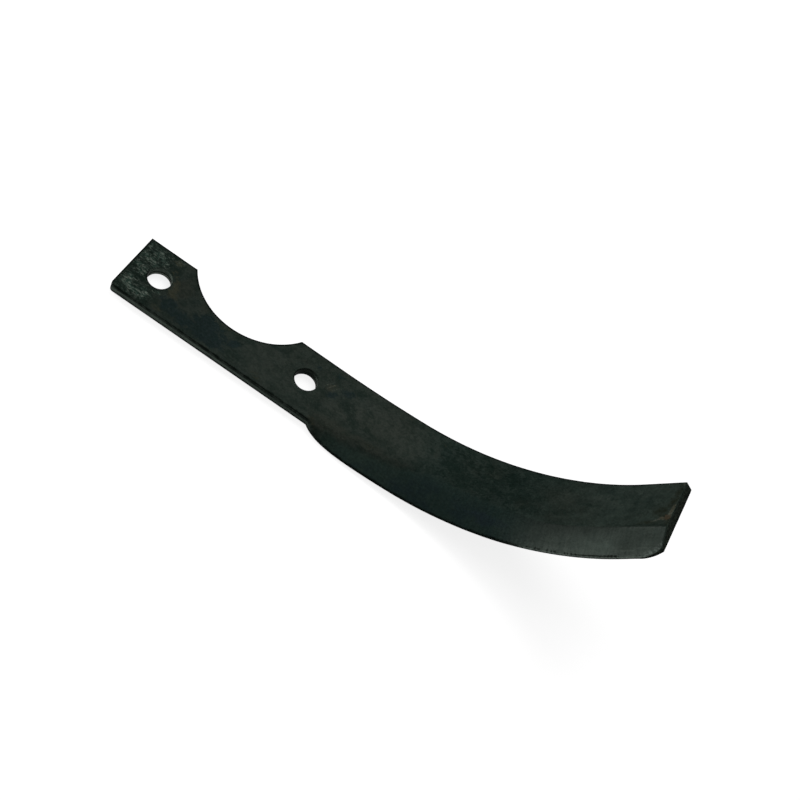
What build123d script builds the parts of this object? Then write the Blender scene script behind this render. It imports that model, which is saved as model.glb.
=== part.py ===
from build123d import *
import math
import os

# Rotary tiller blade, one flat steel bar with a forged cutting edge and a pressed bend.
# All sizes are in millimetres. The frame sits midway between the two bolt holes, on the back
# face of the shank. X runs along the shank to the cutting tip, Y points to the notched long
# edge (the spine), and Z points out of the front face, which is the hollow side of the bend.

# Bolt holes
hole_diameter = 11.0
hole_spacing = 78.0
hole_edge_break = 0.3

# Flat bar
bar_thickness = 5.0
bolt_line_to_spine = 15.6
bolt_line_to_lower_edge = 16.8
hole_to_shank_end = 14.6
bar_edge_radius = 0.5
shank_corner_radius = 1.8

# Half-round notch that clears the rotor tube
notch_radius = 33.2
notch_centre_to_bolt_line = 33.0
notch_shift_to_shank_end = 0.9

# Bend, measured along the back face: a slow start, the main bend and a straight tip
hole_to_bend = 11.0
start_bend_radius = 447.0
start_bend_length = 45.1
main_bend_radius = 120.9
main_bend_length = 109.2
straight_tip_length = 19.1

# Forged cutting edge: the bar spreads as it is thinned
spread_width = 5.85
spread_run = 7.8
tip_narrowing = 1.3
tip_narrowing_length = 75.0
cutting_edge_thickness = 0.9
thinning_run = 6.0
cutting_edge_back_radius = 0.3
bevel_crown = 0.4

# Ridge between the flat of the front face and the bevel: its rise above the bar's lower edge
ridge_rise_after_run_in = 10.2
ridge_rise_at_tip = 8.2
ridge_run_in = 56.0
ridge_waist_depth = 2.4
ridge_waist_distance = 115.0
ridge_waist_length = 22.0

# End cut, sheared a little out of square, and its rounded corner at the cutting edge
end_cut_slant_deg = 1.3
tip_corner_length = 10.0
tip_corner_radius = 13.5

# Sections that shape the blade: close together in the spread, as shares of its run, then even
spread_section_shares = [0.0, 0.4, 0.8, 1.3, 1.9, 2.7, 3.7]
sections_beyond_spread = 12
length_left_for_end_cut = 2.0
cut_margin = 5.0

# Derived positions
spine_y = bolt_line_to_spine
lower_y = -bolt_line_to_lower_edge
shank_end_x = -hole_spacing / 2 - hole_to_shank_end
bend_start_x = hole_spacing / 2 + hole_to_bend
main_bend_end = start_bend_length + main_bend_length
blade_length = main_bend_end + straight_tip_length
arc_inset = 1 - math.cos(math.radians(45))


def along_arc(x, z, angle, radius, length):
    """Carries a point and its direction along an arc that curls toward +Z."""
    end_angle = angle + length / radius
    end_x = x + radius * (math.sin(end_angle) - math.sin(angle))
    end_z = z - radius * (math.cos(end_angle) - math.cos(angle))
    return end_x, end_z, end_angle


def back_face_point(distance):
    """Place and slope of the back face at a distance from the start of the bend."""
    in_start_bend = min(distance, start_bend_length)
    in_main_bend = min(max(distance - start_bend_length, 0.0), main_bend_length)
    in_tip = max(distance - main_bend_end, 0.0)
    x, z, angle = along_arc(bend_start_x, 0.0, 0.0, start_bend_radius, in_start_bend)
    x, z, angle = along_arc(x, z, angle, main_bend_radius, in_main_bend)
    return x + in_tip * math.cos(angle), z + in_tip * math.sin(angle), angle


def section_plane(distance):
    """Plane square to the blade: its x is the width, its y is the thickness."""
    x, z, angle = back_face_point(distance)
    forward = (math.cos(angle), 0, math.sin(angle))
    return Plane(origin=(x, 0, z), x_dir=(0, 1, 0), z_dir=forward)


def cutting_edge_y(distance):
    """Spread of the thinned edge, easing back a little toward the tip."""
    spread = spread_width * (1 - math.exp(-distance / spread_run))
    to_tip = max(distance - (blade_length - tip_narrowing_length), 0.0)
    return lower_y - spread + tip_narrowing * to_tip / tip_narrowing_length


def ridge_y(distance):
    """Line where the flat of the front face turns down into the bevel."""
    share = min(distance / ridge_run_in, 1.0)
    run_in = share * share * (3 - 2 * share)
    to_tip = max(distance - ridge_run_in, 0.0) / (blade_length - ridge_run_in)
    full_rise = ridge_rise_after_run_in + (ridge_rise_at_tip - ridge_rise_after_run_in) * to_tip
    from_waist = (distance - ridge_waist_distance) / ridge_waist_length
    waist = ridge_waist_depth * math.exp(-from_waist * from_waist)
    flat_edge = lower_y + bar_edge_radius
    return flat_edge + (full_rise - waist - bar_edge_radius) * run_in


def decayed(start, end, distance, run):
    """Value that goes from start to end, quickly at first."""
    return end + (start - end) * math.exp(-distance / run)


def bevel_arc(ridge, edge, edge_top, crown):
    """Slightly rounded line from the ridge down to the top of the cutting edge."""
    width = ridge - edge
    drop = bar_thickness - edge_top
    length = math.hypot(width, drop)
    middle = (
        (ridge + edge) / 2 - crown * drop / length,
        (bar_thickness + edge_top) / 2 + crown * width / length,
    )
    return ThreePointArc((ridge, bar_thickness), middle, (edge, edge_top))


def spine_outline():
    """The spine's straight side with its two rounded corners."""
    r = bar_edge_radius
    inset = r * arc_inset
    top = bar_thickness
    return [
        ThreePointArc((spine_y - r, 0), (spine_y - inset, inset), (spine_y, r)),
        Line((spine_y, r), (spine_y, top - r)),
        ThreePointArc((spine_y, top - r), (spine_y - inset, top - inset), (spine_y - r, top)),
    ]


def blade_section(distance):
    """Bar section with its lower edge drawn out into the bevel and the cutting edge."""
    edge = cutting_edge_y(distance)
    ridge = ridge_y(distance)
    r = bar_edge_radius
    edge_top = decayed(bar_thickness - r, cutting_edge_thickness, distance, thinning_run)
    back_r = decayed(r, cutting_edge_back_radius, distance, thinning_run)
    back_inset = back_r * arc_inset
    crown = decayed(r * arc_inset, bevel_crown, distance, thinning_run)
    outline = [
        Line((edge + back_r, 0), (spine_y - r, 0)),
        *spine_outline(),
        Line((spine_y - r, bar_thickness), (ridge, bar_thickness)),
        bevel_arc(ridge, edge, edge_top, crown),
        Line((edge, edge_top), (edge, back_r)),
        ThreePointArc((edge, back_r), (edge + back_inset, back_inset), (edge + back_r, 0)),
    ]
    return section_plane(distance) * make_face(outline)


def section_distances():
    """Places of the sections, from the start of the bend to just past the end cut."""
    spread = [share * spread_run for share in spread_section_shares]
    step = (blade_length + length_left_for_end_cut - spread[-1]) / sections_beyond_spread
    return spread + [spread[-1] + step * (i + 1) for i in range(sections_beyond_spread)]


def bent_blade():
    return loft([blade_section(distance) for distance in section_distances()])


def straight_shank():
    return extrude(blade_section(0.0), amount=shank_end_x - bend_start_x)


def through_shank(x, y, radius):
    """Round cutter that passes right through the flat shank."""
    cutter = Cylinder(radius, bar_thickness + 2 * cut_margin)
    return Pos(x, y, bar_thickness / 2) * cutter


def shank_corner_waste():
    """Material outside the rounded corner at the shank's end, on the cutting-edge side."""
    r = shank_corner_radius
    block = Pos(shank_end_x, lower_y, bar_thickness / 2) * Box(2 * r, 2 * r, 2 * bar_thickness)
    return block - through_shank(shank_end_x + r, lower_y + r, r)


def tip_frame():
    """Location at the end of the blade: x on past the tip, y to the spine, z off the front."""
    x, z, angle = back_face_point(blade_length)
    forward = (math.cos(angle), 0, math.sin(angle))
    outward = (-math.sin(angle), 0, math.cos(angle))
    return Location(Plane(origin=(x, 0, z), x_dir=forward, z_dir=outward))


def end_cut_waste():
    """Everything past the slanted end cut, which meets the spine at the full length."""
    depth = 2 * (bar_thickness + cut_margin)
    height = 2 * (bolt_line_to_spine + bolt_line_to_lower_edge + spread_width + cut_margin)
    block = Pos(cut_margin, 0, 0) * Box(2 * cut_margin, height, depth)
    return tip_frame() * Pos(0, spine_y, 0) * Rot(0, 0, -end_cut_slant_deg) * block


def tip_corner_waste():
    """Material outside the arc between the cutting edge and the end cut."""
    arc_start_y = cutting_edge_y(blade_length - tip_corner_length)
    length = tip_corner_length + cut_margin
    width = tip_corner_radius + cut_margin
    depth = 2 * (bar_thickness + cut_margin)
    block = Pos(length / 2, -width / 2, 0) * Box(length, width, depth)
    waste = block - Cylinder(tip_corner_radius, 2 * depth)
    arc_centre = Pos(-tip_corner_length, arc_start_y + tip_corner_radius, 0)
    return tip_frame() * arc_centre * waste


def with_broken_hole_edges(solid):
    circles = solid.edges().filter_by(GeomType.CIRCLE)
    rims = [edge for edge in circles if math.isclose(edge.radius, hole_diameter / 2)]
    return fillet(rims, hole_edge_break)


def blade():
    solid = straight_shank() + bent_blade()
    solid -= through_shank(-hole_spacing / 2, 0, hole_diameter / 2)
    solid -= through_shank(hole_spacing / 2, 0, hole_diameter / 2)
    solid -= through_shank(-notch_shift_to_shank_end, notch_centre_to_bolt_line, notch_radius)
    solid -= shank_corner_waste()
    solid -= end_cut_waste()
    solid -= tip_corner_waste()
    return with_broken_hole_edges(solid)


os.makedirs("parts", exist_ok=True)
part = blade()
export_step(part, "parts/blade.step")
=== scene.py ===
import math

import bpy
import numpy as np
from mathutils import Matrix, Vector, noise
from mathutils.geometry import delaunay_2d_cdt


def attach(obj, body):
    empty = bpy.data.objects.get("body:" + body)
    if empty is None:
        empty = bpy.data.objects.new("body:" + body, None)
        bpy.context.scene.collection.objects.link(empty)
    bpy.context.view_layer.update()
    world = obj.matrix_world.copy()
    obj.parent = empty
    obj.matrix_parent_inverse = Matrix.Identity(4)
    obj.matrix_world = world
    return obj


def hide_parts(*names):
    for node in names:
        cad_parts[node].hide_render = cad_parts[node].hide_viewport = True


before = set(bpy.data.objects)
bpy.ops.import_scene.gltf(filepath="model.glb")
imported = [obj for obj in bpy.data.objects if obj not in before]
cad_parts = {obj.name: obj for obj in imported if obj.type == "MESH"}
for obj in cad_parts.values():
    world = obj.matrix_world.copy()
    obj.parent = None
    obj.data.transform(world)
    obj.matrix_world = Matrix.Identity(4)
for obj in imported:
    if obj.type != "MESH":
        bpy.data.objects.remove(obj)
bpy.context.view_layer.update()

# Sizes in this file are in millimetres. A point of the blade is named by its place on the flat
# blank, before the bend: u runs along the blade to the tip, y across it to the spine, and w is the
# height above the back face. place() carries such a point round the bend.
METRE = 0.001

# Blank
THICKNESS = 5.0
SHANK_END = -53.6
SPINE = 15.6
LOWER_EDGE = -16.8
BLADE_END = 223.4
SHANK_CORNER = 1.8
HOLE_RADIUS = 5.5
HOLES = (-39.0, 39.0)
NOTCH_U, NOTCH_Y, NOTCH_RADIUS = -0.9, 33.0, 33.2
END_SLANT = math.tan(math.radians(1.3))
TIP_CORNER_START, TIP_CORNER_RADIUS = 213.4, 13.5

# Bend
BEND_START = 50.0
ARCS = ((447.0, 45.1), (120.9, 109.2))

# Cutting edge and bevel
SPREAD, SPREAD_RUN = 5.85, 7.8
TIP_NARROWING, TIP_NARROWING_RUN = 1.3, 75.0
EDGE_THICKNESS, THINNING_RUN = 0.9, 6.0
CROWN = 0.4

# Ridge between the flat of the front face and the bevel
BAR_EDGE_ROUNDING = 0.5
RIDGE_RUN_IN = 56.0
RIDGE_RISE, RIDGE_FALL, RIDGE_FALL_RUN = 10.2, 2.0, 117.4
WAIST_DEPTH, WAIST_PLACE, WAIST_LENGTH = 2.4, 115.0, 22.0

# The ridge is crisp at the tip and grows softer from there back into the bend
CRISP_RIDGE, ADDED_SOFTNESS = 0.12, 0.9
SOFTENING_START, SOFTENING_RUN = 190.0, 70.0

# Rounding of each kind of edge, in front and behind
ROLLED_EDGE = (0.36, 0.5)
CUT_EDGE = (0.16, 0.12)
SHEARED_EDGE = (0.5, 0.12)
GROUND_EDGE = (0.1, 0.25)
HOLE_EDGE = (0.35, 0.25)

# Wear: dents in the scale of each face, and how far below a face the wear reaches
PITS_PER_FACE = 150
PIT_RADII, PIT_STRETCH, PIT_DEPTHS = (0.5, 1.5), (0.8, 1.6), (0.02, 0.08)
LOWEST_PIT = -22.0
WEAR_REACH = 0.5
ROUGH_EDGE_REACH = 0.3
THIN_STEEL, THIN_STEEL_RUN, LEAST_WEAR = 0.6, 1.5, 0.15

# Fineness of the mesh
OUTLINE_STEP = 0.65
CUTTING_EDGE_STEP = OUTLINE_STEP * 0.95
FRONT_STEP = 0.6
BACK_STEP = 1.0
SKIRT = 0.58
CURVE_TURNS = (0, 30, 60, 90)
WALL_ROWS = (0.25, 0.5, 0.75)
GRID_LOWEST = -24.0
GRID_UNEVENNESS = 0.12
GRID_CLEARANCE = 0.62
RIDGE_STEP, RIDGE_START_GAP, RIDGE_END_GAP = 0.6, 6.0, 1.6
LONGEST_MITRE_COSINE = 0.6
CORNER_ROUNDS = 20
EVENING_ROUNDS = 6

# Seeds of the noise and of the random draws
EDGE_SEED, EDGE_SEED_STEP = 10, 5
FRONT_GRID_SEED, BACK_GRID_SEED = 3, 4
FRONT_WEAR_SEED, BACK_WEAR_SEED = 30, 50


def back_face(u):
    """Place and slope of the back face at u."""
    left = np.maximum(u - BEND_START, 0.0)
    x = np.minimum(u, BEND_START)
    z = np.zeros_like(x)
    angle = np.zeros_like(x)
    for radius, length in ARCS:
        run = np.minimum(left, length)
        turned = angle + run / radius
        x = x + radius * (np.sin(turned) - np.sin(angle))
        z = z - radius * (np.cos(turned) - np.cos(angle))
        angle = turned
        left = left - run
    return x + left * np.cos(angle), z + left * np.sin(angle), angle


def place(u, y, w):
    """Points in the row frame, in metres."""
    x, z, angle = back_face(u)
    return np.stack([x - w * np.sin(angle), y, z + w * np.cos(angle)], -1) * METRE


def past_bend(u):
    return np.maximum(np.asarray(u, float) - BEND_START, 0.0)


def edge_line(u):
    """The cutting edge, or the bar's lower edge on the shank."""
    d = past_bend(u)
    to_tip = np.maximum(np.asarray(u, float) - (BLADE_END - TIP_NARROWING_RUN), 0.0)
    spread = SPREAD * (1 - np.exp(-d / SPREAD_RUN))
    return LOWER_EDGE - spread + TIP_NARROWING * to_tip / TIP_NARROWING_RUN


def ridge_line(u):
    """Where the flat of the front face turns down into the bevel."""
    d = past_bend(u)
    share = np.clip(d / RIDGE_RUN_IN, 0, 1)
    run_in = share * share * (3 - 2 * share)
    rise = RIDGE_RISE - RIDGE_FALL * np.maximum(d - RIDGE_RUN_IN, 0) / RIDGE_FALL_RUN
    waist = WAIST_DEPTH * np.exp(-((d - WAIST_PLACE) / WAIST_LENGTH) ** 2)
    return LOWER_EDGE + BAR_EDGE_ROUNDING + (rise - waist - BAR_EDGE_ROUNDING) * run_in


def soft_ramp(d, softness):
    """d above zero and nothing below, turning over a soft corner."""
    return softness * np.logaddexp(0, d / softness)


def front_height(u, y):
    """Height of the front face: full on the flat, falling to the cutting edge on the bevel."""
    u = np.asarray(u, float)
    ridge = ridge_line(u)
    width = ridge - edge_line(u)
    formed = 1 - np.exp(-past_bend(u) / THINNING_RUN)
    slope = (THICKNESS - EDGE_THICKNESS) * formed / width
    softness = CRISP_RIDGE + ADDED_SOFTNESS * np.clip((SOFTENING_START - u) / SOFTENING_RUN, 0, 1)
    down = ridge - y
    share = np.clip(down / width, 0, 1)
    bulge = 4 * CROWN * formed * share * (1 - share)
    return THICKNESS - slope * soft_ramp(down, softness) + bulge


def run(start, end):
    """Evenly spaced points from start up to, but without, end."""
    count = max(1, round(math.dist(start, end) / OUTLINE_STEP))
    share = np.arange(count)[:, None] / count
    return np.array(start) + share * (np.array(end) - np.array(start))


def arc(centre, radius, start, end):
    count = max(1, round(radius * abs(end - start) / OUTLINE_STEP))
    turn = start + (end - start) * np.arange(count) / count
    return np.stack([centre[0] + radius * np.cos(turn), centre[1] + radius * np.sin(turn)], -1)


def blade_outline():
    """The blank's outline, counter-clockwise, with each point's rounding in front and behind."""
    corner_y = float(edge_line(TIP_CORNER_START)) + TIP_CORNER_RADIUS
    turn = 0.0
    for _ in range(CORNER_ROUNDS):
        end_u = BLADE_END - (SPINE - corner_y + TIP_CORNER_RADIUS * math.sin(turn)) * END_SLANT
        turn = math.acos((end_u - TIP_CORNER_START) / TIP_CORNER_RADIUS)
    corner_end = (end_u, corner_y - TIP_CORNER_RADIUS * math.sin(turn))
    rise = math.asin((NOTCH_Y - SPINE) / NOTCH_RADIUS)
    half = NOTCH_RADIUS * math.cos(rise)
    inner = LOWER_EDGE + SHANK_CORNER
    cutting_u = np.arange(BEND_START, TIP_CORNER_START, CUTTING_EDGE_STEP)
    cutting = np.stack([cutting_u, edge_line(cutting_u)], -1)
    corner_centre = (SHANK_END + SHANK_CORNER, inner)
    pieces = [
        (arc(corner_centre, SHANK_CORNER, math.pi, 1.5 * math.pi), ROLLED_EDGE),
        (run((SHANK_END + SHANK_CORNER, LOWER_EDGE), (BEND_START, LOWER_EDGE)), ROLLED_EDGE),
        (cutting, GROUND_EDGE),
        (arc((TIP_CORNER_START, corner_y), TIP_CORNER_RADIUS, -math.pi / 2, -turn), CUT_EDGE),
        (run(corner_end, (BLADE_END, SPINE)), SHEARED_EDGE),
        (run((BLADE_END, SPINE), (NOTCH_U + half, SPINE)), ROLLED_EDGE),
        (arc((NOTCH_U, NOTCH_Y), NOTCH_RADIUS, -rise, rise - math.pi), CUT_EDGE),
        (run((NOTCH_U - half, SPINE), (SHANK_END, SPINE)), ROLLED_EDGE),
        (run((SHANK_END, SPINE), (SHANK_END, inner)), CUT_EDGE),
    ]
    points = np.concatenate([p for p, _ in pieces])
    front = np.concatenate([np.full(len(p), r[0]) for p, r in pieces])
    back = np.concatenate([np.full(len(p), r[1]) for p, r in pieces])
    return points, evened(front), evened(back)


def evened(values):
    """Blends the rounding where one kind of edge meets the next."""
    for _ in range(EVENING_ROUNDS):
        values = 0.25 * np.roll(values, 1) + 0.5 * values + 0.25 * np.roll(values, -1)
    return values


def hole_outline(centre_u):
    """A bolt hole, clockwise, so that the steel is on its left as it is on the outline's."""
    points = arc((centre_u, 0.0), HOLE_RADIUS, 2 * math.pi, 0.0)
    front, back = HOLE_EDGE
    return points, np.full(len(points), front), np.full(len(points), back)


def outward(points):
    """Direction out of the steel at each point, longer at a corner so that offsets stay parallel."""
    ahead = np.roll(points, -1, 0) - points
    ahead /= np.linalg.norm(ahead, axis=1)[:, None]
    behind = np.roll(ahead, 1, 0)
    sides = [np.stack([t[:, 1], -t[:, 0]], -1) for t in (ahead, behind)]
    middle = sides[0] + sides[1]
    middle /= np.linalg.norm(middle, axis=1)[:, None]
    return middle / np.maximum((middle * sides[0]).sum(1), LONGEST_MITRE_COSINE)[:, None]


def field(u, y, size, seed, w=0.0):
    """Smooth noise from -1 to 1 over the blank, with features about size across."""
    at = np.stack(np.broadcast_arrays(u, y, w), -1) / size + seed * 17.31
    return np.array([noise.noise(Vector(p)) for p in at])


def pits(u, y, seed, count):
    """Small dents in the scale: round, shallow and scattered."""
    draw = np.random.default_rng(seed)
    depth = np.zeros(len(u))
    for _ in range(count):
        cu, cy = draw.uniform(SHANK_END, BLADE_END), draw.uniform(LOWEST_PIT, SPINE)
        radius, deep = draw.uniform(*PIT_RADII), draw.uniform(*PIT_DEPTHS)
        near = ((u - cu) / (radius * draw.uniform(*PIT_STRETCH))) ** 2 + ((y - cy) / radius) ** 2
        depth = np.maximum(depth, deep * np.exp(-2 * near))
    return depth


def hollows(u, y, depth, size, seed):
    """Smooth hollows from nothing down to depth, with features about size across."""
    return depth * (1 + field(u, y, size, seed)) / 2


def face_wear(u, y, seed):
    """How far a rolled and scaled face lies below its ideal plane."""
    broad = hollows(u, y, depth=0.03, size=14.0, seed=seed)
    scale = hollows(u, y * 1.4, depth=0.022, size=3.2, seed=seed + 1)
    fine = hollows(u, y, depth=0.010, size=1.4, seed=seed + 2)
    return broad + scale + fine + pits(u, y, seed, PITS_PER_FACE)


def rings(points, front, back, seed):
    """Rows of points round an edge, from the front face over the edge to the back face."""
    out = outward(points)
    rough = hollows(points[:, 0], points[:, 1], depth=0.05, size=2.2, seed=seed)
    front = front * (0.9 + 0.15 * field(points[:, 0], points[:, 1], 4.0, seed + 1))
    rows = [(np.full(len(points), SKIRT), None, 0.0, 1)]
    for degrees in CURVE_TURNS:
        turn = math.radians(degrees)
        rows.append((front * (1 - math.sin(turn)), None, front * (1 - math.cos(turn)), 1))
    for share in WALL_ROWS:
        rows.append((np.zeros(len(points)), share, None, 0))
    for degrees in reversed(CURVE_TURNS):
        turn = math.radians(degrees)
        rows.append((back * (1 - math.sin(turn)), None, back * (1 - math.cos(turn)), -1))
    rows.append((np.full(len(points), SKIRT), None, 0.0, -1))
    made = []
    for inset, share, drop, side in rows:
        at = points - out * inset[:, None]
        lost = rough * np.clip(1 - inset / ROUGH_EDGE_REACH, 0, 1)
        at = at - out * lost[:, None]
        top = front_height(at[:, 0], at[:, 1])
        if side > 0:
            w = top - drop
        elif side < 0:
            w = np.zeros(len(points)) + drop
        else:
            w = (top - front) * (1 - share) + back * share
        made.append(np.column_stack([at, w]))
    return made


def crossings(u, y, loop):
    """Whether each point lies within a closed loop."""
    inside = np.zeros(len(u), bool)
    for (u0, y0), (u1, y1) in zip(loop, np.roll(loop, -1, 0)):
        if y0 == y1:
            continue
        spans = (y0 > y) != (y1 > y)
        inside ^= spans & (u < (u1 - u0) * (y - y0) / (y1 - y0) + u0)
    return inside


def on_steel(u, y, loops):
    inside = crossings(u, y, loops[0])
    for hole in loops[1:]:
        inside &= ~crossings(u, y, hole)
    return inside


def spaced_points(loops, step, seed, avoid):
    """A loose triangular grid over the steel, clear of its borders and of the ridge."""
    draw = np.random.default_rng(seed)
    rows = np.arange(GRID_LOWEST, SPINE, step * math.sqrt(3) / 2)
    columns = np.arange(SHANK_END, BLADE_END, step)
    u, y = np.meshgrid(columns, rows)
    u = (u + (np.arange(len(rows)) % 2)[:, None] * step / 2).ravel()
    y = y.ravel()
    u = u + draw.uniform(-GRID_UNEVENNESS, GRID_UNEVENNESS, len(u)) * step
    y = y + draw.uniform(-GRID_UNEVENNESS, GRID_UNEVENNESS, len(y)) * step
    keep = on_steel(u, y, loops)
    u, y = u[keep], y[keep]
    border = np.concatenate([*loops, avoid])
    near = np.full(len(u), np.inf)
    for bu, by in border:
        near = np.minimum(near, (u - bu) ** 2 + (y - by) ** 2)
    far = near > (GRID_CLEARANCE * step) ** 2
    return np.stack([u[far], y[far]], -1)


def filled(loops, step, seed, line=np.zeros((0, 2))):
    """Triangles over the steel between the loops. Their corners are the loops', then the rest."""
    inner = spaced_points(loops, step, seed, line)
    corners = np.concatenate([*loops, line, inner])
    edges, start = [], 0
    for loop in loops:
        n = len(loop)
        edges += [(start + i, start + (i + 1) % n) for i in range(n)]
        start += n
    edges += [(start + i, start + i + 1) for i in range(len(line) - 1)]
    made = delaunay_2d_cdt([Vector(c) for c in corners], edges, [], 0, 1e-6)
    assert len(made[0]) == len(corners)
    faces = np.array(made[2])
    middle = corners[faces].mean(1)
    faces = faces[on_steel(middle[:, 0], middle[:, 1], loops)]
    a, b, c = (corners[faces[:, i]] for i in range(3))
    turned = np.cross(b - a, c - a) < 0
    faces[turned] = faces[turned][:, ::-1]
    return corners, faces


def blade_mesh():
    """The whole blade as one closed mesh, with its place on the blank kept at every point."""
    outlines = [blade_outline(), *(hole_outline(u) for u in HOLES)]
    bands = [rings(*outline, EDGE_SEED + EDGE_SEED_STEP * i) for i, outline in enumerate(outlines)]
    points, faces, front_ids, back_ids = [], [], [], []
    count = 0
    for band in bands:
        n = len(band[0])
        points += band
        for k in range(len(band) - 1):
            for i in range(n):
                j = (i + 1) % n
                upper, lower = count + k * n, count + (k + 1) * n
                faces.append((upper + i, lower + i, lower + j, upper + j))
        front_ids.append(np.arange(count, count + n))
        back_ids.append(np.arange(count + (len(band) - 1) * n, count + len(band) * n))
        count += len(band) * n
    front_loops = [band[0][:, :2] for band in bands]
    back_loops = [band[-1][:, :2] for band in bands]
    ridge_u = np.arange(BEND_START + RIDGE_START_GAP, BLADE_END - RIDGE_END_GAP, RIDGE_STEP)
    ridge = np.stack([ridge_u, ridge_line(ridge_u)], -1)
    for loops, ids, step, seed, line, front in (
        (front_loops, front_ids, FRONT_STEP, FRONT_GRID_SEED, ridge, True),
        (back_loops, back_ids, BACK_STEP, BACK_GRID_SEED, np.zeros((0, 2)), False),
    ):
        corners, triangles = filled(loops, step, seed, line)
        shared = np.concatenate(ids)
        new = corners[len(shared):]
        w = front_height(new[:, 0], new[:, 1]) if front else np.zeros(len(new))
        points.append(np.column_stack([new, w]))
        index = np.concatenate([shared, np.arange(count, count + len(new))])
        count += len(new)
        triangles = index[triangles if front else triangles[:, ::-1]]
        faces += [tuple(t) for t in triangles.tolist()]
    return np.concatenate(points), faces


def worn(points):
    """The same points with the faces' dents and unevenness, all into the steel."""
    u, y, w = points.T
    top = front_height(u, y)
    up = np.clip((w - top + WEAR_REACH) / WEAR_REACH, 0, 1) * (top > WEAR_REACH)
    down = np.clip((WEAR_REACH - w) / WEAR_REACH, 0, 1)
    thin = np.clip((top - THIN_STEEL) / THIN_STEEL_RUN, LEAST_WEAR, 1)
    lowered = face_wear(u, y, FRONT_WEAR_SEED) * up * thin
    raised = face_wear(u, y, BACK_WEAR_SEED) * down * thin
    return np.column_stack([u, y, w - lowered + raised])


def spots(u, y, marks):
    """Soft patches, each (u, y, half length, half width, turn in degrees, strength)."""
    total = np.zeros(len(u))
    for cu, cy, ru, ry, degrees, strength in marks:
        c, s = math.cos(math.radians(degrees)), math.sin(math.radians(degrees))
        along = ((u - cu) * c + (y - cy) * s) / ru
        across = ((y - cy) * c - (u - cu) * s) / ry
        total = total + strength * np.exp(-0.7 * (along ** 2 + across ** 2) ** 1.5)
    return total


# Marks on the front face, by their place on the blank
PALE_SCALE = (
    (-48.5, 5.6, 4.6, 1.7, -12, 1.1),
    (-46.3, 10.2, 2.8, 2.2, 30, 0.9),
    (-42.5, 8.6, 2.6, 1.5, -40, 0.7),
    (-50.2, 0.2, 2.4, 1.5, 20, 0.9),
    (-47.0, -2.4, 2.0, 2.2, -30, 0.9),
    (-48.8, -10.6, 2.4, 3.2, 25, 1.1),
    (-42.8, -12.8, 4.6, 1.5, -8, 1.1),
    (-40.0, -10.4, 3.6, 1.3, -16, 0.9),
    (-36.4, -7.4, 1.8, 1.1, 20, 0.6),
    (-36.2, 12.6, 2.0, 1.5, 30, 0.6),
    (-51.8, 11.4, 1.0, 3.0, 0, 0.5),
)
RUST = (
    (-30.6, -2.2, 2.2, 3.0, 10, 1.0),
    (-32.0, 3.0, 1.6, 3.0, 20, 0.8),
    (-37.0, 12.4, 2.4, 1.6, 20, 0.9),
    (-35.5, 6.6, 2.6, 1.6, 0, 0.6),
    (-31.5, -13.8, 2.6, 1.6, 0, 0.7),
    (-28.5, -4.2, 1.8, 1.2, 0, 0.7),
    (50.4, 4.0, 3.0, 1.6, 52, 0.8),
    (51.6, -16.4, 3.0, 1.6, -34, 0.7),
    (152.2, -3.2, 3.4, 3.4, 10, 0.25),
    (-3.0, -1.4, 7.0, 1.2, 5, 0.7),
    (19.5, -13.6, 3.0, 2.0, 0, 0.5),
    (79.0, -11.0, 3.0, 2.0, 10, 0.4),
    (108.0, 11.0, 3.0, 2.4, 0, 0.4),
    (221.4, -3.8, 1.7, 1.4, 10, 1.0),
)
SCRATCH = (
    (214.6, -5.8, 1.6, 0.6, 4, 0.5),
    (217.4, -4.9, 1.8, 0.8, 26, 0.8),
    (219.5, -4.4, 1.3, 0.8, -20, 0.9),
    (221.9, -1.4, 0.8, 1.6, -18, 1.4),
    (222.4, 1.6, 0.8, 1.6, -14, 1.4),
    (222.9, 14.4, 0.5, 1.5, 10, 0.6),
    (48.0, 4.2, 2.4, 0.34, 58, 1.0),
    (50.0, 4.9, 3.2, 0.34, 58, 1.0),
    (52.0, 4.4, 2.6, 0.34, 58, 0.9),
    (-29.8, -3.6, 1.6, 0.5, 30, 0.6),
    (-31.4, 0.6, 1.4, 0.5, 70, 0.6),
)
SCORCH = (
    (217.8, -1.4, 4.2, 2.4, -24, 0.9),
    (221.6, 5.6, 1.8, 3.8, -12, 1.0),
    (213.0, -6.6, 3.6, 0.9, 4, 0.9),
    (222.0, 11.0, 1.4, 3.0, 0, 0.8),
    (222.6, -6.6, 1.4, 2.4, 0, 1.1),
)
WARM = (
    (61.0, -13.4, 11.0, 4.0, -2, 0.9),
    (78.0, -11.2, 9.0, 3.0, 2, 0.8),
    (54.5, -15.4, 3.6, 2.0, -30, 1.0),
    (152.0, -2.6, 4.2, 3.6, 0, 0.9),
    (-27.0, 6.0, 4.0, 6.0, 0, 0.8),
    (-29.0, 0.0, 4.0, 5.0, 0, 0.7),
    (-16.0, 1.0, 7.0, 2.6, -20, 0.6),
    (107.0, 6.0, 5.0, 4.0, 0, 0.5),
    (135.5, 7.5, 6.0, 3.8, 0, 0.7),
    (168.0, 4.0, 9.0, 6.0, 0, 0.6),
    (206.0, 6.0, 6.0, 4.0, 0, 0.4),
)
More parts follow.
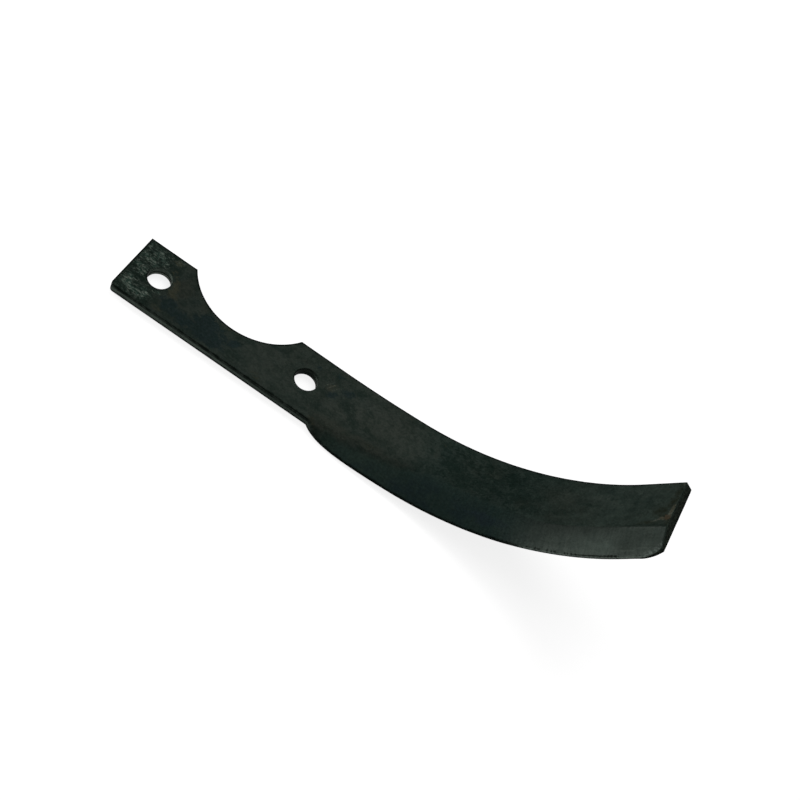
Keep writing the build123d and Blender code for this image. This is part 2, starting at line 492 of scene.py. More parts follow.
BLUE = (
    (-9.0, -8.6, 9.0, 5.6, 0, 1.1),
    (-10.0, -3.6, 3.4, 2.8, 0, 1.0),
    (-28.0, -8.8, 5.4, 3.8, -24, 1.0),
    (-20.0, -11.5, 4.0, 3.4, 0, 0.7),
    (4.0, -6.6, 3.6, 3.0, 20, 0.8),
    (58.0, 6.4, 3.4, 1.8, 24, 1.0),
    (52.4, 0.8, 3.2, 1.8, 40, 0.9),
    (41.0, 9.4, 1.6, 1.6, 0, 0.7),
    (51.0, 12.0, 2.2, 1.8, 0, 0.7),
    (139.0, -15.8, 8.6, 2.8, 0, 1.0),
    (98.0, -18.4, 12.0, 2.6, 0, 0.35),
    (-4.0, -12.6, 6.0, 2.4, 0, 0.8),
)
DARK = (
    (-49.2, 9.2, 2.6, 1.8, 0, 1.1),
    (-45.0, 2.0, 2.4, 1.0, -20, 0.8),
    (-45.6, -6.0, 3.4, 1.8, 20, 1.1),
    (-51.2, -14.6, 2.2, 2.2, 0, 1.0),
    (-51.6, -4.6, 1.4, 2.4, 0, 0.9),
    (-42.0, 12.6, 2.6, 1.4, 0, 0.8),
    (-35.0, 9.6, 2.6, 1.6, 0, 0.6),
    (-38.0, -14.8, 4.0, 1.4, 0, 0.8),
    (-27.0, -13.0, 4.0, 1.8, 0, 0.8),
    (6.5, -12.4, 4.4, 3.0, 0, 0.8),
    (-14.0, -14.4, 8.0, 1.8, 0, 0.7),
    (49.4, -8.4, 3.4, 1.6, -15, 1.1),
    (29.6, 1.0, 2.2, 2.6, 0, 0.7),
    (33.0, 6.6, 1.4, 2.4, 30, 0.5),
    (43.0, -6.6, 2.0, 1.2, 0, 0.6),
    (71.0, 3.4, 2.6, 2.0, 0, 0.8),
    (62.8, 10.0, 3.4, 2.2, 20, 0.9),
    (61.4, 0.6, 3.6, 3.4, 0, 0.9),
    (66.0, -5.4, 3.4, 2.6, 0, 0.8),
    (116.0, 2.6, 5.0, 3.6, 10, 1.0),
    (123.0, -2.6, 7.0, 4.6, 10, 1.1),
    (131.0, 8.4, 3.0, 3.4, 0, 0.7),
    (135.0, 1.0, 6.0, 3.6, 0, 0.8),
    (144.0, 7.4, 5.0, 4.0, 0, 1.0),
    (150.0, -0.4, 6.0, 4.0, 10, 1.1),
    (158.0, -5.4, 5.0, 2.4, 0, 0.9),
    (172.0, -3.4, 5.0, 2.0, 10, 0.7),
    (181.0, 2.6, 5.6, 1.2, -4, 0.9),
    (192.0, 7.0, 5.0, 1.2, 0, 0.5),
    (205.0, 4.6, 4.0, 1.6, 10, 0.5),
)
LIGHT = (
    (68.0, 5.0, 8.0, 7.0, 0, 0.5),
    (22.0, -3.0, 14.0, 8.0, 0, 0.7),
    (26.0, -10.0, 10.0, 4.0, 0, 0.6),
    (17.0, 1.5, 6.0, 1.4, 12, 0.6),
    (80.0, 4.0, 14.0, 6.6, 0, 0.9),
    (95.0, 0.0, 12.0, 8.0, 0, 0.9),
    (58.0, -4.6, 6.4, 2.4, -8, 0.9),
    (66.0, 1.0, 1.6, 4.0, 30, 0.5),
    (166.0, 6.0, 9.0, 5.0, 0, 0.6),
    (188.0, 4.6, 8.0, 5.0, 0, 0.8),
    (206.0, 10.0, 8.0, 3.0, 0, 0.5),
)


def eased(value, low, high):
    """Zero up to low, one from high, and smooth between them."""
    share = np.clip((value - low) / (high - low), 0, 1)
    return share * share * (3 - 2 * share)


def mark_attributes(mesh, points):
    """What the steel's finish reads at each point: its place on the blank, its marks, and where light and
    shade are painted into the colour.
    """
    u, y, w = points.T
    top = front_height(u, y)
    front = np.clip((w - top + 0.35) / 0.3, 0, 1)
    past_run_in = eased(u, 56.0, 82.0)
    ground_line = ridge_line(u) - 3.8 * eased(u, 114.0, 92.0) * past_run_in
    ground_line = ground_line - 1.0 * (1 - past_run_in)
    edge_wall = (y < edge_line(u) + 0.35) * eased(u, 140.0, 160.0) * np.clip(w / 0.3, 0, 1)
    ground = np.maximum(front, edge_wall)
    values = {
        "below_ridge": np.clip(ground_line - y, -6, 14) * ground - 6 * (1 - ground),
        "ridge_softness": 0.30 + 2.3 * eased(u, 190.0, 110.0),
        "formed": eased(u, 52.0, 68.0),
        # Where the bevel turns light: rubbed steel and painted sheen.
        "bright": eased(u, 141.0, 171.0),
        "tip": eased(u, 196.0, 208.0),
        "green": eased(u, 84.0, 118.0) * (1 - 0.4 * eased(u, 158.0, 178.0)),
        "bevel_start": eased(u, 106.0, 74.0),
        "edge_wear_and_sheen": ground * edge_wear_and_sheen(u, y),
        "edge_wall": edge_wall,
        "shank_end": eased(u, -31.0, -40.0) * front,
        "tone": broad_tone(u, y),
        "pale_scale": front * (spots(u, y, PALE_SCALE) + 0.20 * eased(u, -36.0, -42.0)),
        "rust": front * spots(u, y, RUST),
        "scratch": front * spots(u, y, SCRATCH),
        "scorch": front * spots(u, y, SCORCH),
        "warm": front * spots(u, y, WARM),
        "blue": front * spots(u, y, BLUE),
        "dark": front * spots(u, y, DARK),
        "light": front * spots(u, y, LIGHT),
        "cut": sheared_end(points),
        "side": rolled_sides(points),
        "bore": bore(points),
        "rim": rim(points),
        "pale_corner_band": front * pale_corner_band(u, y),
    }
    flat = mesh.attributes.new("flat", "FLOAT_VECTOR", "POINT")
    flat.data.foreach_set("vector", points.astype(np.float32).ravel())
    for name, value in values.items():
        attribute = mesh.attributes.new(name, "FLOAT", "POINT")
        attribute.data.foreach_set("value", value.astype(np.float32))


def broad_tone(u, y):
    """How light the face is along the blade: darkest in the bend, lightest toward the tip, partly the
    oxide's own tone and partly painted shade in the bend and painted sheen at the tip.
    """
    bend = 0.08 * np.exp(-((u - 132.0) / 20.0) ** 2)
    before_bend = 0.07 * np.exp(-((u - 60.0) / 20.0) ** 2)
    past_diagonal = 0.08 * eased(u - 90.0 - (y + 9.0) * 1.14, -3.0, 4.0)
    past_diagonal = past_diagonal * (1 - eased(u, 150.0, 175.0))
    tone = 1.0 + before_bend - bend - past_diagonal
    tone = tone - 0.03 * eased(u, 150.0, 168.0) - 0.08 * eased(-u, 0.0, 14.0)
    return tone + 0.155 * eased(u, 173.0, 189.0)


def edge_wear_and_sheen(u, y):
    """One in a band just inside the cutting edge, lighter as soil wear and as a painted highlight."""
    inside = y - edge_line(u)
    return eased(inside, 4.2, 1.2) * eased(u, 146.0, 168.0) * (1 - 0.6 * eased(u, 179.0, 201.0))


def within_corner(u, y):
    """How far a place lies within the round corner where the cutting edge meets the end."""
    corner_y = float(edge_line(TIP_CORNER_START)) + TIP_CORNER_RADIUS
    within = TIP_CORNER_RADIUS - np.hypot(u - TIP_CORNER_START, y - corner_y)
    return np.where((u > TIP_CORNER_START) & (y < corner_y), within, np.inf)


def pale_corner_band(u, y):
    """One in a band along the round corner, fading out where it meets the end."""
    return eased(within_corner(u, y), 2.6, 0.9) * eased(u, 213.4, 217.0) * eased(y, -9.5, -11.5)


def before_end(u, y):
    """How far a place lies before the slanted end at the tip."""
    return BLADE_END - (SPINE - y) * END_SLANT - u


def sheared_end(points):
    """One low on the sheared end and corner, where painted shade darkens them, fading out toward the
    rolled arris above.
    """
    u, y, w = points.T
    top = front_height(u, y)
    at_end = np.clip((0.55 - np.minimum(before_end(u, y), within_corner(u, y))) / 0.3, 0, 1)
    return at_end * np.clip((0.86 * top - w) / (0.30 * top), 0, 1)


def rolled_sides(points):
    """One on the walls of the bar's long sides that were rolled and not cut."""
    u, y, w = points.T
    lower = (y < edge_line(u) + 0.45) * eased(u, BEND_START + 5.0, BEND_START)
    upper = (y > SPINE - 0.45) * (u < BLADE_END - 0.5) * 0.5
    return np.maximum(lower, upper) * np.clip((THICKNESS - 0.05 - w) / 0.3, 0, 1)


def bore(points):
    """One on the wall of the bolt hole at the shank's end, less on the other's, where it rises toward the
    tip as a painted highlight.
    """
    u, y, w = points.T
    end_hole, blade_hole = (np.hypot(u - centre_u, y) < HOLE_RADIUS + 0.25 for centre_u in HOLES)
    end_wall = end_hole * np.clip((w - 0.1) / 0.2, 0, 1)
    end_wall = end_wall * np.clip((THICKNESS - 0.06 - w) / 0.2, 0, 1)
    blade_wall = blade_hole * np.clip((w - 0.25) / 0.3, 0, 1)
    blade_wall = blade_wall * np.clip((THICKNESS - 0.5 - w) / 0.3, 0, 1)
    # Painted highlight: the blade hole's wall grows lighter toward the tip.
    return end_wall + blade_wall * (0.12 + 0.75 * eased(u - HOLES[1], 0.5, 4.0))


RIM_REACH = 1.5


def rim(points):
    """Share of the painted shade along the arrises in front and behind, fading out within RIM_REACH."""
    u, y, w = points.T
    loops = [blade_outline()[0], *(hole_outline(centre_u)[0] for centre_u in HOLES)]
    near = np.full(len(points), np.inf)
    for bu, by in np.concatenate(loops):
        near = np.minimum(near, (u - bu) ** 2 + (y - by) ** 2)
    steepness = 1.8 - 0.9 * eased(before_end(u, y), 1.0, 0.4)
    drop = steepness * np.minimum(np.abs(front_height(u, y) - w), np.abs(w))
    along_cutting_edge = eased(u, 150.0, 172.0) * (y < ridge_line(u))
    over_end_hole = eased(y, -2.0, 2.0) * (np.hypot(u - HOLES[0], y) < HOLE_RADIUS + 2.0)
    round_blade_hole = np.hypot(u - HOLES[1], y) < HOLE_RADIUS + 2.0
    round_blade_hole = round_blade_hole * (0.30 + 0.45 * eased(u - HOLES[1], 0.0, 4.0))
    in_front = w > 0.5 * front_height(u, y)
    rubbed_side = in_front * (y < LOWER_EDGE + 1.6) * (0.15 * eased(u, -10.0, -30.0) + 0.30)
    rubbed_side = rubbed_side * (u < BEND_START)
    rolled_end = in_front * eased(before_end(u, y), 2.2, 1.2)
    shown = (1 - 0.92 * along_cutting_edge) * (1 - 0.9 * over_end_hole) * (1 - round_blade_hole)
    spreading = (y < LOWER_EDGE + 1.0) * (0.15 + 0.45 * eased(u, 70.0, 54.0)) * (u >= BEND_START)
    shown = shown * (1 - rubbed_side) * (1 - 0.85 * rolled_end) * (1 - in_front * spreading)
    return np.clip(1 - np.sqrt(near + drop ** 2) / RIM_REACH, 0, 1) * shown


def build_blade():
    points, faces = blade_mesh()
    points = worn(points)
    mesh = bpy.data.meshes.new("blade_forged")
    mesh.from_pydata(place(*points.T).tolist(), [], faces)
    mark_attributes(mesh, points)
    mesh.shade_smooth()
    mesh.set_sharp_from_angle(angle=math.radians(38))
    mesh.validate()
    blade = bpy.data.objects.new("blade_forged", mesh)
    bpy.context.scene.collection.objects.link(blade)
    return blade


class Nodes:
    """Short names for the shader nodes that the finish is made of."""

    def __init__(self, material):
        material.use_nodes = True
        self.tree = material.node_tree
        self.tree.nodes.clear()

    def add(self, kind, **settings):
        node = self.tree.nodes.new(kind)
        for name, value in settings.items():
            setattr(node, name, value)
        return node

    def link(self, source, socket):
        if isinstance(source, (int, float)):
            socket.default_value = source
        elif isinstance(source, tuple):
            socket.default_value = (*source, 1.0) if len(socket.default_value) == 4 else source
        else:
            self.tree.links.new(source, socket)

    def attribute(self, name, output="Fac"):
        return self.add("ShaderNodeAttribute", attribute_name=name).outputs[output]

    def math(self, operation, a, b=0.0, c=0.0):
        node = self.add("ShaderNodeMath", operation=operation)
        for value, socket in zip((a, b, c), node.inputs):
            self.link(value, socket)
        return node.outputs[0]

    def stretched(self, scale):
        """The place on the blank, in millimetres, scaled along u, y and w."""
        node = self.add("ShaderNodeVectorMath", operation="MULTIPLY")
        self.link(self.attribute("flat", "Vector"), node.inputs[0])
        node.inputs[1].default_value = scale
        return node.outputs[0]

    def along_and_height(self):
        """The place along the blank and the height above the back face, in millimetres."""
        node = self.add("ShaderNodeSeparateXYZ")
        self.link(self.attribute("flat", "Vector"), node.inputs[0])
        return node.outputs["X"], node.outputs["Z"]

    def noise(self, scale, detail=2.0, roughness=0.5, distortion=0.0, offset=0.0):
        """Noise from 0 to 1 with features of the sizes that scale gives, in millimetres."""
        node = self.add("ShaderNodeTexNoise", noise_dimensions="4D")
        self.link(self.stretched(tuple(1 / s for s in scale)), node.inputs["Vector"])
        node.inputs["W"].default_value = offset
        node.inputs["Scale"].default_value = 1.0
        node.inputs["Detail"].default_value = detail
        node.inputs["Roughness"].default_value = roughness
        node.inputs["Distortion"].default_value = distortion
        return node.outputs["Fac"]

    def between(self, value, low, high, to_low=0.0, to_high=1.0, smooth=True):
        kind = "SMOOTHSTEP" if smooth else "LINEAR"
        node = self.add("ShaderNodeMapRange", interpolation_type=kind)
        for source, name in (
            (value, "Value"), (low, "From Min"), (high, "From Max"),
            (to_low, "To Min"), (to_high, "To Max"),
        ):
            self.link(source, node.inputs[name])
        return node.outputs["Result"]

    def mix(self, share, a, b, blend="MIX"):
        node = self.add("ShaderNodeMix", data_type="RGBA", blend_type=blend)
        self.link(share, node.inputs["Factor"])
        self.link(a, node.inputs[6])
        self.link(b, node.inputs[7])
        return node.outputs[2]

    def bump(self, height, strength, distance, normal=None):
        node = self.add("ShaderNodeBump")
        node.inputs["Strength"].default_value = strength
        node.inputs["Distance"].default_value = distance
        self.link(height, node.inputs["Height"])
        if normal is not None:
            self.link(normal, node.inputs["Normal"])
        return node.outputs["Normal"]


def patch(n, name, breakup, reach, low, high):
    """A mark with a ragged edge and gaps: its soft patch, broken up by finer noise."""
    soft = n.attribute(name)
    ragged = n.math("ADD", soft, n.math("MULTIPLY_ADD", breakup, reach, -0.5 * reach))
    return n.math("MULTIPLY", n.between(ragged, low, high), n.between(soft, 0.04, 0.30))


def oxide_colour(n, broad, cloud, mottle, swirl):
    """The thin black-green oxide of the rolled faces, with its clouds, mottles and marks."""
    colour = n.mix(n.between(broad, 0.35, 0.65), (0.0108, 0.0150, 0.0128), (0.0128, 0.0156, 0.0126))
    colour = n.mix(n.between(cloud, 0.38, 0.66), colour, (0.0150, 0.0196, 0.0162))
    dark = n.math("MULTIPLY", n.between(mottle, 0.42, 0.60), n.between(cloud, 0.62, 0.42))
    dark = n.math("MULTIPLY", dark, n.between(n.attribute("bright"), 0.0, 1.0, 0.60, 0.42))
    colour = n.mix(dark, colour, (0.0060, 0.0102, 0.0080))
    warm = n.math("MULTIPLY", patch(n, "warm", cloud, 1.8, 0.20, 1.00), 0.60)
    colour = n.mix(warm, colour, (0.0146, 0.0164, 0.0128))
    light = n.math("MULTIPLY", patch(n, "light", cloud, 1.6, 0.20, 1.10), 0.55)
    colour = n.mix(light, colour, (0.0190, 0.0224, 0.0186))
    islands = n.between(n.noise((3.8, 2.6, 2.6), 5, 0.62, 1.0, offset=8.0), 0.49, 0.55)
    islands = n.math("MULTIPLY", islands, n.between(n.attribute("green"), 0.0, 1.0, 0.60, 1.0))
    islands = n.math("MULTIPLY", islands, n.between(n.attribute("bright"), 0.0, 1.0, 1.0, 0.35))
    colour = n.mix(islands, colour, n.mix(1.0, colour, (0.60, 0.70, 0.68), "MULTIPLY"))
    shade = n.math("MULTIPLY", patch(n, "dark", swirl, 4.2, 0.40, 0.90), 0.62)
    colour = n.mix(shade, colour, (0.0054, 0.0094, 0.0074))
    blue = n.math("MULTIPLY", patch(n, "blue", mottle, 2.6, 0.30, 0.95), 0.80)
    deep_blue, pale_blue = (0.0044, 0.0090, 0.0086), (0.0070, 0.0118, 0.0122)
    colour = n.mix(blue, colour, n.mix(n.between(swirl, 0.42, 0.58), deep_blue, pale_blue))
    colour = n.mix(n.attribute("green"), colour, n.mix(1.0, colour, (0.96, 1.08, 1.08), "MULTIPLY"))
    scorch = n.math("MULTIPLY", patch(n, "scorch", mottle, 3.4, -0.10, 1.50), 0.85)
    colour = n.mix(scorch, colour, (0.0066, 0.0078, 0.0046))
    # The broad tone holds painted shade in the bend and painted sheen toward the tip besides the oxide's
    # own changes.
    return n.mix(1.0, colour, n.attribute("tone"), "MULTIPLY")


def side_colour(n, mottle):
    """The bar's rolled side: a light band along its middle as a painted reflection of the floor, dark and
    mottled above and below.
    """
    u, w = n.along_and_height()
    uneven = n.between(n.noise((7.0, 2.0, 1.4), 3, 0.6, 0.6, offset=9.0), 0.34, 0.54, 0.40, 1.0)
    reach = n.between(u, -20.0, 20.0, 4.0, 3.6)
    below_top = n.between(n.math("SUBTRACT", w, reach), 0.0, -1.3)
    # Painted reflection: the light band stands for the pale floor seen in the side.
    band = n.math("MULTIPLY", n.between(w, 1.0, 1.9), below_top)
    band = n.math("MULTIPLY", band, n.math("MULTIPLY", uneven, n.between(u, 5.0, 40.0, 1.0, 0.6)))
    rest = n.mix(n.between(mottle, 0.42, 0.58), (0.0240, 0.0320, 0.0265), (0.0070, 0.0110, 0.0088))
    return n.mix(band, rest, (0.0780, 0.0990, 0.0830))


def bore_colour(n, swirl):
    """The punched wall of the end hole: scaled like the face above, torn bright below, and lightened well
    past the face as painted light.
    """
    _, w = n.along_and_height()
    uneven = n.math("ADD", w, n.math("MULTIPLY_ADD", swirl, 2.4, -1.2))
    # Painted light: these walls are several times lighter than the face, as the hole gets little lamp
    # light.
    punched_and_lit = n.mix(n.between(swirl, 0.42, 0.56), (0.0900, 0.1120, 0.0930), (0.0480, 0.0640, 0.0530))
    torn_and_lit = n.mix(n.between(uneven, 1.2, 1.7), (0.1500, 0.1750, 0.1500), (0.0200, 0.0250, 0.0200))
    return n.mix(n.between(uneven, 2.2, 2.7), torn_and_lit, punched_and_lit)


def bevel_colour(n, streak, cloud, mottle):
    """The ground bevel: dark and bluish in the bend, lighter toward the tip as rubbed steel with painted
    sheen.
    """
    dull = n.mix(n.between(streak, 0.3, 0.7), (0.0064, 0.0122, 0.0106), (0.0086, 0.0142, 0.0121))
    well_below_ridge = n.between(n.attribute("below_ridge"), 1.0, 7.0, 0.2, 1.0)
    bluish = n.math("MULTIPLY", n.between(cloud, 0.40, 0.62), well_below_ridge)
    dull = n.mix(bluish, dull, (0.0062, 0.0110, 0.0110))
    blue = n.math("MULTIPLY", patch(n, "blue", mottle, 2.2, 0.30, 0.95), 0.5)
    dull = n.mix(blue, dull, (0.0070, 0.0106, 0.0140))
    early = n.mix(n.attribute("bevel_start"), (1.06, 1.06, 1.06), (1.76, 1.66, 1.56))
    dull = n.mix(1.0, dull, early, "MULTIPLY")
    # Rubbed steel toward the tip, with painted sheen in its lightness.
    rubbed_and_sheen = n.mix(n.between(streak, 0.3, 0.7), (0.0158, 0.0206, 0.0176), (0.0202, 0.0252, 0.0216))
    rubbed_and_sheen = n.mix(n.between(cloud, 0.50, 0.66, 0.0, 0.3), rubbed_and_sheen, (0.0138, 0.0182, 0.0152))
    along = n.between(n.noise((18.0, 0.9, 4.0), 3, 0.6, offset=10.0), 0.54, 0.66)
    along = n.math("MULTIPLY", along, n.between(n.attribute("below_ridge"), 6.5, 10.0, 0.0, 0.7))
    rubbed_and_sheen = n.mix(n.math("MULTIPLY", along, n.attribute("tip")), rubbed_and_sheen, (0.0310, 0.0370, 0.0320))
    # Painted highlight: away from the tip the light bevel grows lighter down toward the cutting edge, and
    # at the tip it is dimmed evenly.
    lower = n.between(n.attribute("below_ridge"), 1.0, 10.0, 0.62, 1.16)
    rubbed_and_sheen = n.mix(1.0, rubbed_and_sheen, n.mix(n.attribute("tip"), lower, (0.86, 0.86, 0.86)), "MULTIPLY")
    # Worn band along the cutting edge, made lighter still as a painted highlight.
    worn_edge_and_sheen = n.math("MULTIPLY", n.attribute("edge_wear_and_sheen"), n.between(streak, 0.30, 0.60, 0.35, 0.80))
    rubbed_and_sheen = n.mix(worn_edge_and_sheen, rubbed_and_sheen, (0.0330, 0.0405, 0.0350))
    ground_colour = n.mix(n.attribute("bright"), dull, rubbed_and_sheen)
    # The cutting edge's own wall: bare steel, made light as painted light, since the wall faces away from
    # the lamps.
    bare_and_lit_edge = n.math("MULTIPLY", n.attribute("edge_wall"), n.between(streak, 0.30, 0.60, 0.35, 0.85))
    return n.mix(bare_and_lit_edge, ground_colour, (0.0800, 0.0960, 0.0840))


def line_beside_ridge(n, distance, width):
    """A thin line along the ridge near the tip, a distance below it; it carries the painted shade line
    and the painted highlight line.
    """
    away = n.math("ABSOLUTE", n.math("SUBTRACT", n.attribute("below_ridge"), distance))
    return n.math("MULTIPLY", n.between(away, width, 0.25 * width), n.attribute("tip"))


def steel_material():
    """Forged steel under a thin oxide, ground on the bevel, with painted shade along its edges and on the
    tip's end, and painted sheen on the bevel toward the tip.
    """
    material = bpy.data.materials.new("blackened_steel")
    n = Nodes(material)
    broad = n.noise((30, 20, 20), 2, 0.5, offset=1.0)
    cloud = n.noise((8, 6, 6), 4, 0.6, 0.4, offset=2.0)
    mottle = n.noise((2.8, 2.2, 2.2), 4, 0.65, 0.8, offset=3.0)
    fine = n.noise((1.0, 0.8, 0.8), 4, 0.65, 0.5, offset=4.0)
    swirl = n.noise((2.6, 1.7, 1.7), 5, 0.62, 1.6, offset=7.0)
    curl = n.noise((3.8, 1.6, 1.6), 4, 0.6, 2.4, offset=11.0)
    streak = n.noise((1.1, 14.0, 6.0), 3, 0.55, offset=5.0)
    past_ridge = n.math("DIVIDE", n.attribute("below_ridge"), n.attribute("ridge_softness"))
    ground = n.math("MULTIPLY", n.between(past_ridge, -0.6, 1.0), n.attribute("formed"))

    colour = oxide_colour(n, broad, cloud, mottle, swirl)
    scaled = n.math("MULTIPLY", n.attribute("shank_end"), n.between(curl, 0.55, 0.42))
    colour = n.mix(n.math("MULTIPLY", scaled, 0.85), colour, (0.0036, 0.0072, 0.0052))
    colour = n.mix(n.math("MULTIPLY", ground, 0.95), colour, bevel_colour(n, streak, cloud, mottle))
    # Painted shade in a dark line just above the ridge near the tip, and a painted highlight in a light
    # line just below it.
    painted_ridge_shade = n.math("MULTIPLY", line_beside_ridge(n, -0.5, 0.9), 0.6)
    colour = n.mix(painted_ridge_shade, colour, (0.0050, 0.0084, 0.0066))
    painted_ridge_highlight = n.math("MULTIPLY", line_beside_ridge(n, 0.7, 0.5), 0.35)
    colour = n.mix(painted_ridge_highlight, colour, (0.0270, 0.0320, 0.0280))

    pale = patch(n, "pale_scale", curl, 5.8, 0.10, 1.50)
    veins = n.noise((5.4, 2.2, 2.2), 3, 0.55, 3.0, offset=12.0)
    pale_colour = n.mix(n.between(veins, 0.45, 0.58), (0.0110, 0.0215, 0.0165), (0.0560, 0.0680, 0.0560))
    pale_colour = n.mix(1.0, pale_colour, n.between(fine, 0.35, 0.65, 0.78, 1.20), "MULTIPLY")
    colour = n.mix(n.math("MULTIPLY", pale, 0.92), colour, pale_colour)
    rust = patch(n, "rust", swirl, 3.4, 0.30, 1.10)
    rust_colour = n.mix(n.attribute("tip"), (0.0225, 0.0220, 0.0135), (0.0440, 0.0310, 0.0190))
    rust = n.math("MULTIPLY", rust, n.between(n.attribute("tip"), 0.0, 1.0, 0.48, 0.60))
    colour = n.mix(rust, colour, rust_colour)
    scratch_colour = n.mix(n.between(mottle, 0.42, 0.58), (0.052, 0.056, 0.044), (0.035, 0.034, 0.024))
    scratch = n.math("MULTIPLY", patch(n, "scratch", fine, 2.4, 0.30, 1.20), 0.80)
    scratch = n.math("MULTIPLY", scratch, n.between(n.attribute("tip"), 0.0, 1.0, 0.55, 1.0))
    colour = n.mix(scratch, colour, scratch_colour)
    # A lighter band along the tip's round corner, broken up by noise.
    corner = n.math("MULTIPLY", n.attribute("pale_corner_band"), n.between(swirl, 0.46, 0.56, 0.0, 0.8))
    colour = n.mix(corner, colour, (0.052, 0.063, 0.056))

    # Painted shade: the sheared end and the corner's wall go nearly black, with lighter specks.
    end_shade_colour = n.mix(n.between(fine, 0.42, 0.58), (0.0020, 0.0034, 0.0025), (0.0178, 0.0232, 0.0168))
    end_shade = n.math("ADD", n.attribute("cut"), n.math("MULTIPLY_ADD", swirl, 2.4, -1.2))
    end_shade = n.math("MULTIPLY", n.between(end_shade, 0.05, 0.55), n.between(n.attribute("cut"), 0.0, 0.15))
    colour = n.mix(n.math("MULTIPLY", end_shade, 0.95), colour, end_shade_colour)
    colour = n.mix(n.attribute("bore"), colour, bore_colour(n, swirl))
    colour = n.mix(n.attribute("side"), colour, side_colour(n, mottle))
    # Painted shade: a ragged dark line along the arrises, standing for the shade on the edges.
    ragged = n.math("MULTIPLY_ADD", fine, 1.0, n.math("MULTIPLY_ADD", mottle, 1.0, -1.0))
    ragged_rim = n.math("ADD", n.attribute("rim"), ragged)
    near_rim = n.between(n.attribute("rim"), 0.0, 0.2, 0.0, 0.90)
    painted_edge_shade = n.math("MULTIPLY", n.between(ragged_rim, 0.30, 0.66), near_rim)
    colour = n.mix(painted_edge_shade, colour, (0.0022, 0.0034, 0.0026))
    colour = n.mix(1.0, colour, n.between(fine, 0.28, 0.72, 0.62, 1.35, smooth=False), "MULTIPLY")

    rough = n.between(cloud, 0.3, 0.7, 0.42, 0.52)
    rough = n.math("ADD", rough, n.math("MULTIPLY_ADD", fine, 0.24, -0.12))
    rough = n.math("MULTIPLY_ADD", ground, -0.04, rough)

    relief = n.math("MULTIPLY_ADD", mottle, 0.6, n.math("MULTIPLY", fine, 0.4))
    relief = n.math("MULTIPLY_ADD", pale, 0.5, relief)
    normal = n.bump(relief, 0.35, 0.00012)
    lines = n.math("MULTIPLY", n.noise((0.5, 9.0, 4.0), 2, 0.6, offset=6.0), ground)
    lines = n.math("MULTIPLY", lines, n.between(n.attribute("tip"), 0.0, 1.0, 1.0, 0.4))
    normal = n.bump(lines, 0.35, 0.00008, normal)

    shader = n.add("ShaderNodeBsdfPrincipled")
    n.link(colour, shader.inputs["Base Color"])
    n.link(rough, shader.inputs["Roughness"])
    n.link(normal, shader.inputs["Normal"])
    shader.inputs["Metallic"].default_value = 0.3
    shader.inputs["Specular IOR Level"].default_value = 0.01
    shader.inputs["Specular Tint"].default_value = (0.15, 0.15, 0.15, 1.0)
    output = n.add("ShaderNodeOutputMaterial")
    n.link(shader.outputs["BSDF"], output.inputs["Surface"])
    return material


# Studio, in metres: the floor, the sky and the lamps with their place, target, size and power
FLOOR_HALF_WIDTH, FLOOR_HEIGHT = 2.0, -0.0002
FLOOR_GREY, FLOOR_GLOW = 0.32, 0.80
SKY_LIGHT, SKY_GLOW = 0.4, 0.6
LAMPS = (
    ("back", (-0.05, 0.62, 0.95), (0.03, 0.0, 0.02), 0.7, 6.0),
    ("side", (-0.86, 0.11, 0.25), (0.15, 0.0, 0.04), 0.42, 7.0),
)

# The photo's camera: metres, degrees, and millimetres for its lens and sensor
CAMERA_PLACE = (0.062173, -0.303125, 0.445479)
CAMERA_TURN = (30.3836, -20.8562, 28.3992)
CAMERA_LENS, CAMERA_SENSOR = 54.49, 36.0


def shown_white(n, strength):
    """White to the camera and to reflections, dark to the light that falls on the object."""
    rays = n.add("ShaderNodeLightPath")
    seen = n.math("MAXIMUM", rays.outputs["Is Camera Ray"], rays.outputs["Is Glossy Ray"])
    seen = n.math("MAXIMUM", seen, rays.outputs["Is Transmission Ray"])
    return n.math("MULTIPLY", seen, strength)


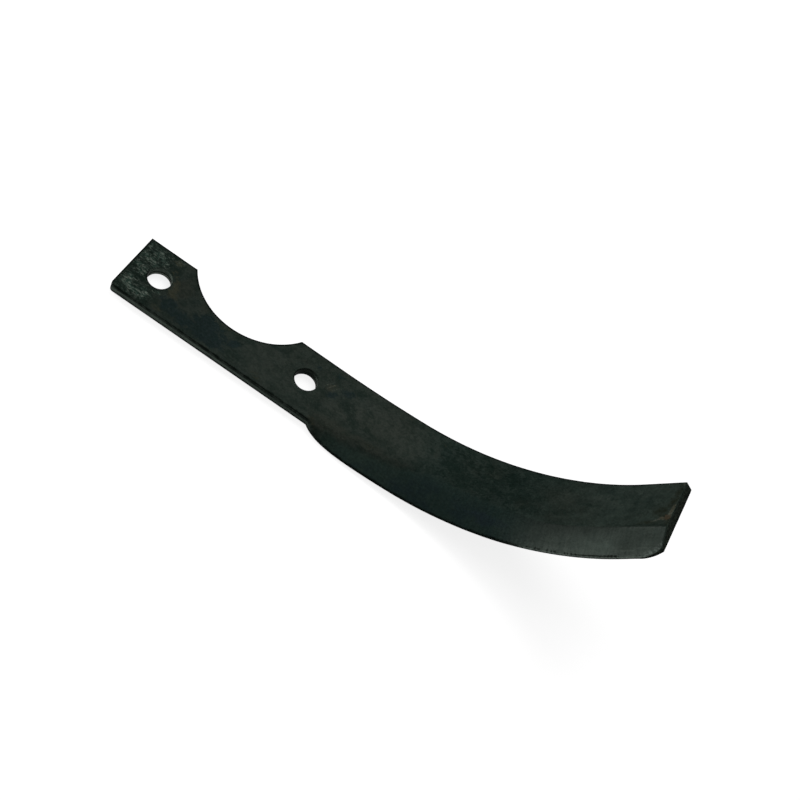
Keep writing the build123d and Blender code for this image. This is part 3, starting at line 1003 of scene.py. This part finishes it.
def build_floor():
    turns = ((-1, -1), (1, -1), (1, 1), (-1, 1))
    square = [(FLOOR_HALF_WIDTH * x, FLOOR_HALF_WIDTH * y, FLOOR_HEIGHT) for x, y in turns]
    mesh = bpy.data.meshes.new("floor")
    mesh.from_pydata(square, [], [(0, 1, 2, 3)])
    floor = bpy.data.objects.new("floor", mesh)
    bpy.context.scene.collection.objects.link(floor)
    material = bpy.data.materials.new("pale_floor")
    n = Nodes(material)
    diffuse = n.add("ShaderNodeBsdfDiffuse")
    diffuse.inputs["Color"].default_value = (FLOOR_GREY, FLOOR_GREY, FLOOR_GREY, 1.0)
    glow = n.add("ShaderNodeEmission")
    n.link(shown_white(n, FLOOR_GLOW), glow.inputs["Strength"])
    both = n.add("ShaderNodeAddShader")
    n.link(diffuse.outputs[0], both.inputs[0])
    n.link(glow.outputs[0], both.inputs[1])
    output = n.add("ShaderNodeOutputMaterial")
    n.link(both.outputs[0], output.inputs["Surface"])
    mesh.materials.append(material)


def build_world():
    world = bpy.data.worlds.new("studio")
    n = Nodes(world)
    lamp = n.add("ShaderNodeBackground")
    lamp.inputs["Color"].default_value = (1.0, 1.0, 1.0, 1.0)
    n.link(n.math("ADD", shown_white(n, SKY_GLOW), SKY_LIGHT), lamp.inputs["Strength"])
    output = n.add("ShaderNodeOutputWorld")
    n.link(lamp.outputs[0], output.inputs["Surface"])
    bpy.context.scene.world = world


def area_light(name, location, target, size, power):
    data = bpy.data.lights.new(name, "AREA")
    data.shape = "DISK"
    data.size = size
    data.energy = power
    light = bpy.data.objects.new(name, data)
    light.location = location
    light.rotation_euler = (Vector(target) - Vector(location)).to_track_quat("-Z", "Y").to_euler()
    bpy.context.scene.collection.objects.link(light)


def build_camera():
    data = bpy.data.cameras.new("camera")
    data.sensor_width = CAMERA_SENSOR
    data.lens = CAMERA_LENS
    camera = bpy.data.objects.new("camera", data)
    camera.location = CAMERA_PLACE
    camera.rotation_euler = [math.radians(angle) for angle in CAMERA_TURN]
    bpy.context.scene.collection.objects.link(camera)
    bpy.context.scene.camera = camera


blade = build_blade()
blade.data.materials.append(steel_material())
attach(blade, "root")
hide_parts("blade")

build_floor()
build_world()
for lamp in LAMPS:
    area_light(*lamp)
build_camera()
bpy.context.scene.view_settings.view_transform = "Standard"


def corners(box):
    return [list(box[0]), list(box[1])]
